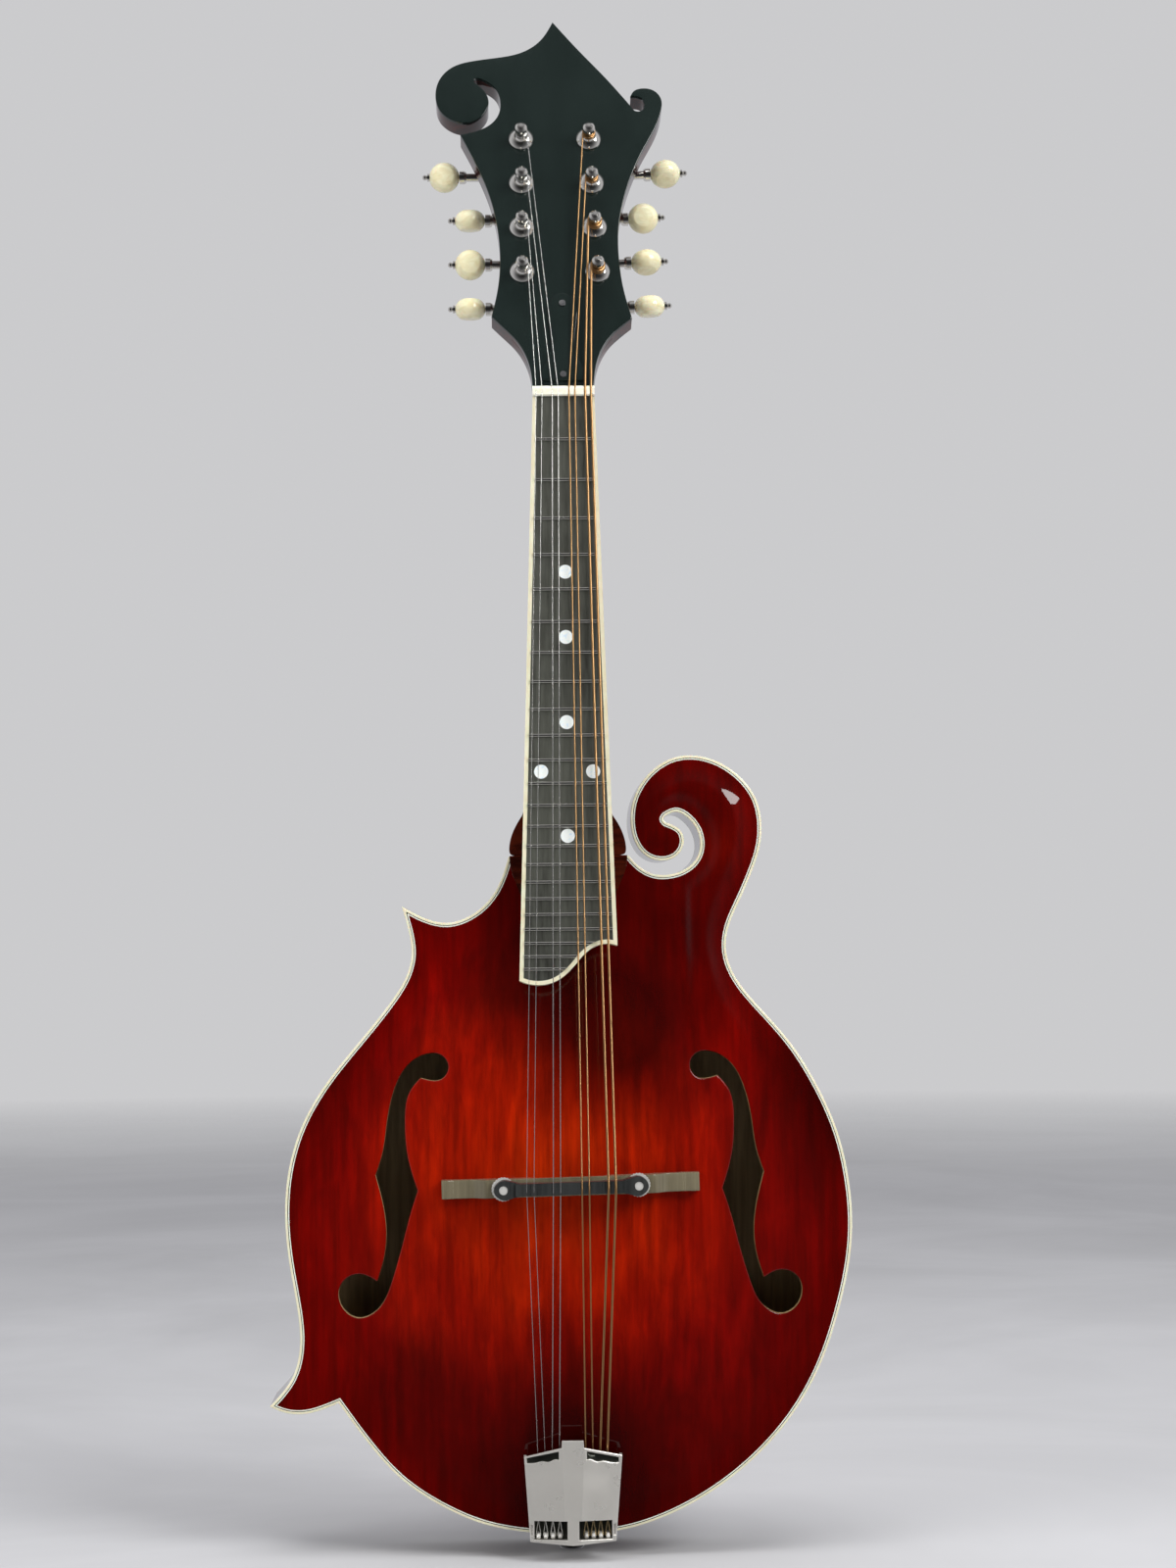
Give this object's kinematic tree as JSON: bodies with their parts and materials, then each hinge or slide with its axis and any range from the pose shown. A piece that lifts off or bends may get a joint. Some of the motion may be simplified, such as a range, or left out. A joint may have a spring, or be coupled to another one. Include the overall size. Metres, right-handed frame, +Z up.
{
  "type": "mandolin",
  "caption": "Left-handed scroll-body mandolin with carved f-hole top, floating two-foot bridge, cast tailpiece and geared tuners with round buttons.",
  "frame": {"origin": "centre of the end pin's lower face", "axes": "+Z up the body and neck, -Y out of the carved top (front), +X towards the scroll side"},
  "size_m": [0.2613, 0.102, 0.7069],
  "materials": {
    "spruce_top": "gloss sunburst lacquer",
    "maple_body": "gloss sunburst lacquer",
    "maple_neck": "gloss stained lacquer",
    "bare_wood": "unfinished",
    "binding": "cream, polished",
    "head_overlay": "black gloss lacquer",
    "ebony": "satin",
    "pearl": "mother-of-pearl look",
    "bone": "polished bone",
    "black_plastic": "black gloss",
    "nickel": "polished nickel",
    "fret_metal": "polished nickel silver",
    "steel": "bright steel",
    "string_steel": "plain steel wire",
    "string_bronze": "bronze-wound",
    "button": "cream pearloid"
  },
  "bodies": {
    "root": {"top_plate": "spruce_top", "back_plate": "maple_body", "ribs": "maple_body", "tail_block": "bare_wood", "head_block": "bare_wood", "scroll_and_point_blocks": "bare_wood", "linings": "bare_wood", "tone_bars": "bare_wood", "top_binding": "binding", "back_binding": "binding", "neck": "maple_neck", "headstock_veneer": "head_overlay", "fingerboard": "ebony", "fingerboard_binding": "binding", "fingerboard_dots": "pearl", "frets": "fret_metal", "nut": "bone", "truss_rod": "steel", "truss_rod_cover": "black_plastic", "truss_cover_screws": "nickel", "fingerboard_support": "maple_neck", "bridge_base": "ebony", "bridge_posts": "nickel", "tailpiece": "nickel", "tailpiece_screws": "nickel", "end_pin": "black_plastic", "plain_strings": "string_steel", "wound_strings": "string_bronze", "tuner_plate_left": "nickel", "tuner_plate_right": "nickel", "tuner_plate_screws": "nickel", "post_bushings": "nickel"},
    "tuner_left1": {"knob_left1": "button", "worm_shaft_left1": "nickel"},
    "post_left1": {"string_post_left1": "nickel"},
    "tuner_left2": {"knob_left2": "button", "worm_shaft_left2": "nickel"},
    "post_left2": {"string_post_left2": "nickel"},
    "tuner_left3": {"knob_left3": "button", "worm_shaft_left3": "nickel"},
    "post_left3": {"string_post_left3": "nickel"},
    "tuner_left4": {"knob_left4": "button", "worm_shaft_left4": "nickel"},
    "post_left4": {"string_post_left4": "nickel"},
    "tuner_right1": {"knob_right1": "button", "worm_shaft_right1": "nickel"},
    "post_right1": {"string_post_right1": "nickel"},
    "tuner_right2": {"knob_right2": "button", "worm_shaft_right2": "nickel"},
    "post_right2": {"string_post_right2": "nickel"},
    "tuner_right3": {"knob_right3": "button", "worm_shaft_right3": "nickel"},
    "post_right3": {"string_post_right3": "nickel"},
    "tuner_right4": {"knob_right4": "button", "worm_shaft_right4": "nickel"},
    "post_right4": {"string_post_right4": "nickel"},
    "saddle": {"bridge_saddle": "ebony"},
    "wheel_treble": {"thumbwheel_treble": "nickel"},
    "wheel_bass": {"thumbwheel_bass": "nickel"},
    "rod_nut": {"truss_rod_nut": "steel"}
  },
  "joints": [
    {"name": "tuner_left1_turn", "type": "hinge", "parent": "root", "child": "tuner_left1", "pos_m": [-0.0181, 0.00715, 0.56629], "axis": [-1, 0, 0], "continuous": true},
    {"name": "post_left1_turn", "type": "hinge", "parent": "root", "child": "post_left1", "pos_m": [-0.0181, -0.00824, 0.58093], "axis": [0, -0.9563, 0.2924], "continuous": true},
    {"name": "tuner_left2_turn", "type": "hinge", "parent": "root", "child": "tuner_left2", "pos_m": [-0.0181, 0.01387, 0.58829], "axis": [-1, 0, 0], "continuous": true},
    {"name": "post_left2_turn", "type": "hinge", "parent": "root", "child": "post_left2", "pos_m": [-0.0181, -0.00152, 0.60293], "axis": [0, -0.9563, 0.2924], "continuous": true},
    {"name": "tuner_left3_turn", "type": "hinge", "parent": "root", "child": "tuner_left3", "pos_m": [-0.0181, 0.0206, 0.61028], "axis": [-1, 0, 0], "continuous": true},
    {"name": "post_left3_turn", "type": "hinge", "parent": "root", "child": "post_left3", "pos_m": [-0.0181, 0.00521, 0.62492], "axis": [0, -0.9563, 0.2924], "continuous": true},
    {"name": "tuner_left4_turn", "type": "hinge", "parent": "root", "child": "tuner_left4", "pos_m": [-0.0181, 0.02732, 0.63228], "axis": [-1, 0, 0], "continuous": true},
    {"name": "post_left4_turn", "type": "hinge", "parent": "root", "child": "post_left4", "pos_m": [-0.0181, 0.01193, 0.64692], "axis": [0, -0.9563, 0.2924], "continuous": true},
    {"name": "tuner_right1_turn", "type": "hinge", "parent": "root", "child": "tuner_right1", "pos_m": [0.01682, 0.00715, 0.5663], "axis": [0.999, 0.0131, 0.0427], "continuous": true},
    {"name": "post_right1_turn", "type": "hinge", "parent": "root", "child": "post_right1", "pos_m": [0.0164, -0.00824, 0.58093], "axis": [0, -0.9563, 0.2924], "continuous": true},
    {"name": "tuner_right2_turn", "type": "hinge", "parent": "root", "child": "tuner_right2", "pos_m": [0.0158, 0.01387, 0.58828], "axis": [0.999, 0.0131, 0.0427], "continuous": true},
    {"name": "post_right2_turn", "type": "hinge", "parent": "root", "child": "post_right2", "pos_m": [0.01537, -0.00153, 0.60291], "axis": [0, -0.9563, 0.2924], "continuous": true},
    {"name": "tuner_right3_turn", "type": "hinge", "parent": "root", "child": "tuner_right3", "pos_m": [0.01477, 0.02059, 0.61025], "axis": [0.999, 0.0131, 0.0427], "continuous": true},
    {"name": "post_right3_turn", "type": "hinge", "parent": "root", "child": "post_right3", "pos_m": [0.01435, 0.00519, 0.62488], "axis": [0, -0.9563, 0.2924], "continuous": true},
    {"name": "tuner_right4_turn", "type": "hinge", "parent": "root", "child": "tuner_right4", "pos_m": [0.01374, 0.02731, 0.63222], "axis": [0.999, 0.0131, 0.0427], "continuous": true},
    {"name": "post_right4_turn", "type": "hinge", "parent": "root", "child": "post_right4", "pos_m": [0.01332, 0.01191, 0.64685], "axis": [0, -0.9563, 0.2924], "continuous": true},
    {"name": "saddle_height", "type": "slide", "parent": "root", "child": "saddle", "axis": [0, -1, 0], "range_m": [-0.0012, 0.002], "deforming": ["plain_strings", "wound_strings"]},
    {"name": "wheel_treble_turn", "type": "hinge", "parent": "saddle", "child": "wheel_treble", "pos_m": [-0.02979, -0.0486, 0.1653], "axis": [0, -1, 0], "range_deg": [-620, 1030]},
    {"name": "wheel_bass_turn", "type": "hinge", "parent": "saddle", "child": "wheel_bass", "pos_m": [0.02979, -0.0486, 0.1667], "axis": [0, -1, 0], "range_deg": [-620, 1030]},
    {"name": "rod_nut_turn", "type": "hinge", "parent": "root", "child": "rod_nut", "pos_m": [0, -0.01625, 0.53465], "axis": [0, 0.075, 0.9972], "range_deg": [-180, 180]}
  ],
  "couplings": [
    {"joint": "post_left1_turn", "follows": "tuner_left1_turn", "ratio": 0.0625},
    {"joint": "post_left2_turn", "follows": "tuner_left2_turn", "ratio": 0.0625},
    {"joint": "post_left3_turn", "follows": "tuner_left3_turn", "ratio": 0.0625},
    {"joint": "post_left4_turn", "follows": "tuner_left4_turn", "ratio": 0.0625},
    {"joint": "post_right1_turn", "follows": "tuner_right1_turn", "ratio": -0.0625},
    {"joint": "post_right2_turn", "follows": "tuner_right2_turn", "ratio": -0.0625},
    {"joint": "post_right3_turn", "follows": "tuner_right3_turn", "ratio": -0.0625},
    {"joint": "post_right4_turn", "follows": "tuner_right4_turn", "ratio": -0.0625},
    {"joint": "wheel_treble_turn", "follows": "saddle_height", "rad_per_m": 8976},
    {"joint": "wheel_bass_turn", "follows": "saddle_height", "rad_per_m": 8976}
  ]
}
